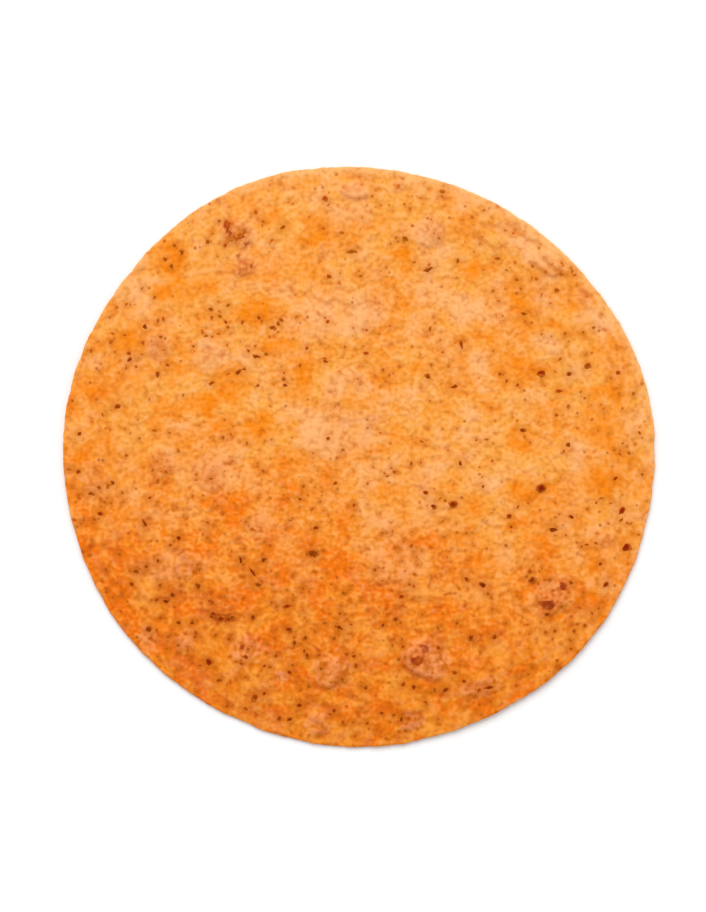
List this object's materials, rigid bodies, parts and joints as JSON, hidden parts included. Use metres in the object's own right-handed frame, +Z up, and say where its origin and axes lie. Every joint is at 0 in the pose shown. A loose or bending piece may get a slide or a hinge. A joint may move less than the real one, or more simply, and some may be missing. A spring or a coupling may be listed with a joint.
{
  "type": "tortilla wrap",
  "caption": "Soft round flat tortilla wrap, tomato orange, with an uneven outline, a thin rounded rim and small baked blisters.",
  "frame": {"origin": "on the table under the middle of the wrap's bounding box", "axes": "+Z up out of the table, through the thickness; +Y to the far side and +X to the right, as seen from above with the shown side up"},
  "size_m": [0.2526, 0.2482, 0.0037],
  "materials": {
    "baked_dough": "matt baked dough, mottled orange, with pale puffed patches, toasted spots and fine dark herb flecks"
  },
  "bodies": {
    "root": {"tortilla_wrap": "baked_dough"}
  },
  "joints": []
}
